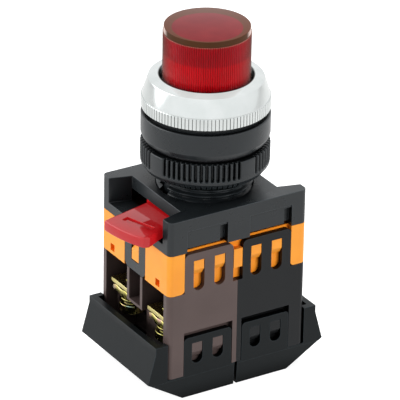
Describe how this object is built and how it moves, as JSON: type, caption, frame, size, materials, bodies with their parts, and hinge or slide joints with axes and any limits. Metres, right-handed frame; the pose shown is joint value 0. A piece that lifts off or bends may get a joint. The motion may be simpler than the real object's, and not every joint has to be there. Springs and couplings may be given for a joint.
{
  "type": "panel push button",
  "caption": "Illuminated extended-head push button for a round panel hole, with lock nut, twist-lock adaptor, lamp frame and two clip-fit contact blocks with screw terminals.",
  "frame": {"origin": "on the barrel axis at the underside of the collar, where the front of the panel sits", "axes": "+Z along the barrel towards the operator; X along the long side of the base, with the lock lever at -X; -Y is one long side of the base"},
  "size_m": [0.0498, 0.03, 0.0843],
  "materials": {
    "black_plastic": "moulded thermoplastic, fine satin texture",
    "brown_plastic": "moulded thermoset, satin",
    "dark_block_plastic": "moulded thermoset, satin",
    "orange_plastic": "moulded thermoplastic, satin",
    "red_lever_plastic": "moulded thermoplastic, glossy",
    "red_lens": "clear tinted, polished",
    "white_plastic": "natural moulded",
    "chrome_plate": "bright plated",
    "rubber": "matt",
    "spring_steel": "drawn wire",
    "black_steel": "black oxide, oiled",
    "yellow_zinc_steel": "yellow passivated zinc plate",
    "brass_strip": "bright stamped strip",
    "bulb_glass": "clear"
  },
  "bodies": {
    "base": {"return_spring": "spring_steel", "bezel_ring": "chrome_plate", "housing_barrel": "black_plastic", "panel_gasket": "rubber", "lamp_bulb": "bulb_glass", "lamp_cap": "brass_strip", "lamp_holder": "brass_strip", "lamp_contact_spring": "spring_steel", "adaptor_bracket": "black_plastic", "lamp_frame": "orange_plastic", "block_body_left": "brown_plastic", "block_body_right": "dark_block_plastic", "base_plate_left": "brown_plastic", "base_plate_right": "dark_block_plastic", "rear_cover_left": "black_plastic", "rear_cover_right": "black_plastic", "fixed_contacts_left": "brass_strip", "fixed_contacts_right": "brass_strip", "pusher_spring_left": "spring_steel", "bridge_spring_left": "spring_steel", "pusher_spring_right": "spring_steel"},
    "button": {"lens_cap": "red_lens", "lens_diffuser": "white_plastic", "plunger_tube": "white_plastic"},
    "lever": {"lock_lever": "red_lever_plastic"},
    "washer": {"thrust_washer": "black_steel"},
    "nut": {"lock_nut": "black_plastic"},
    "pusher_left": {"pusher_left": "white_plastic"},
    "bridge_left": {"bridge_left": "brass_strip"},
    "clamp_left_a": {"clamp_left_a": "yellow_zinc_steel"},
    "screw_left_a": {"screw_left_a": "yellow_zinc_steel"},
    "clamp_left_b": {"clamp_left_b": "yellow_zinc_steel"},
    "screw_left_b": {"screw_left_b": "yellow_zinc_steel"},
    "pusher_right": {"pusher_right": "white_plastic"},
    "bridge_right": {"bridge_right": "brass_strip", "bridge_spring_right": "spring_steel"},
    "clamp_right_a": {"clamp_right_a": "yellow_zinc_steel"},
    "screw_right_a": {"screw_right_a": "yellow_zinc_steel"},
    "clamp_right_b": {"clamp_right_b": "yellow_zinc_steel"},
    "screw_right_b": {"screw_right_b": "yellow_zinc_steel"}
  },
  "joints": [
    {"name": "button_press", "type": "slide", "parent": "base", "child": "button", "axis": [0, 0, -1], "range_m": [0, 0.004], "stiffness_N_per_m": 600, "springref_m": -0.004, "deforming": ["return_spring"]},
    {"name": "lever_turn", "type": "hinge", "parent": "base", "child": "lever", "pos_m": [0, 0, -0.0168], "axis": [0, 0, 1], "range_deg": [-24, 0]},
    {"name": "washer_slide", "type": "slide", "parent": "base", "child": "washer", "axis": [0, 0, -1], "range_m": [0, 0.004]},
    {"name": "nut_turn", "type": "hinge", "parent": "washer", "child": "nut", "pos_m": [0, 0, -0.0043], "axis": [0, 0, -1], "range_deg": [0, 960]},
    {"name": "pusher_left_slide", "type": "slide", "parent": "base", "child": "pusher_left", "axis": [0, 0, -1], "range_m": [0, 0.004], "deforming": ["pusher_spring_left"]},
    {"name": "bridge_left_slide", "type": "slide", "parent": "base", "child": "bridge_left", "axis": [0, 0, -1], "range_m": [0, 0.0025], "deforming": ["bridge_spring_left"]},
    {"name": "clamp_left_a_slide", "type": "slide", "parent": "base", "child": "clamp_left_a", "axis": [0, 0, -1], "range_m": [0, 0.002]},
    {"name": "screw_left_a_turn", "type": "hinge", "parent": "clamp_left_a", "child": "screw_left_a", "pos_m": [-0.0139, -0.0081, -0.0424], "axis": [0, 0, -1], "range_deg": [0, 1200]},
    {"name": "clamp_left_b_slide", "type": "slide", "parent": "base", "child": "clamp_left_b", "axis": [0, 0, -1], "range_m": [0, 0.002]},
    {"name": "screw_left_b_turn", "type": "hinge", "parent": "clamp_left_b", "child": "screw_left_b", "pos_m": [-0.0139, 0.0081, -0.0424], "axis": [0, 0, -1], "range_deg": [0, 1200]},
    {"name": "pusher_right_slide", "type": "slide", "parent": "base", "child": "pusher_right", "axis": [0, 0, -1], "range_m": [0, 0.004], "deforming": ["pusher_spring_right"]},
    {"name": "bridge_right_slide", "type": "slide", "parent": "base", "child": "bridge_right", "axis": [0, 0, -1], "range_m": [0, 0.0025], "deforming": ["bridge_spring_right"]},
    {"name": "clamp_right_a_slide", "type": "slide", "parent": "base", "child": "clamp_right_a", "axis": [0, 0, -1], "range_m": [0, 0.002]},
    {"name": "screw_right_a_turn", "type": "hinge", "parent": "clamp_right_a", "child": "screw_right_a", "pos_m": [0.0139, 0.0081, -0.0424], "axis": [0, 0, -1], "range_deg": [0, 1200]},
    {"name": "clamp_right_b_slide", "type": "slide", "parent": "base", "child": "clamp_right_b", "axis": [0, 0, -1], "range_m": [0, 0.002]},
    {"name": "screw_right_b_turn", "type": "hinge", "parent": "clamp_right_b", "child": "screw_right_b", "pos_m": [0.0139, -0.0081, -0.0424], "axis": [0, 0, -1], "range_deg": [0, 1200]}
  ],
  "couplings": [
    {"joint": "washer_slide", "follows": "nut_turn", "m_per_rad": 0.00023873},
    {"joint": "pusher_left_slide", "follows": "button_press", "ratio": 1},
    {"joint": "bridge_left_slide", "follows": "button_press", "ratio": 0.625},
    {"joint": "screw_left_a_turn", "follows": "clamp_left_a_slide", "rad_per_m": 10472},
    {"joint": "screw_left_b_turn", "follows": "clamp_left_b_slide", "rad_per_m": 10472},
    {"joint": "pusher_right_slide", "follows": "button_press", "ratio": 1},
    {"joint": "bridge_right_slide", "follows": "button_press", "ratio": 0.625},
    {"joint": "screw_right_a_turn", "follows": "clamp_right_a_slide", "rad_per_m": 10472},
    {"joint": "screw_right_b_turn", "follows": "clamp_right_b_slide", "rad_per_m": 10472}
  ]
}
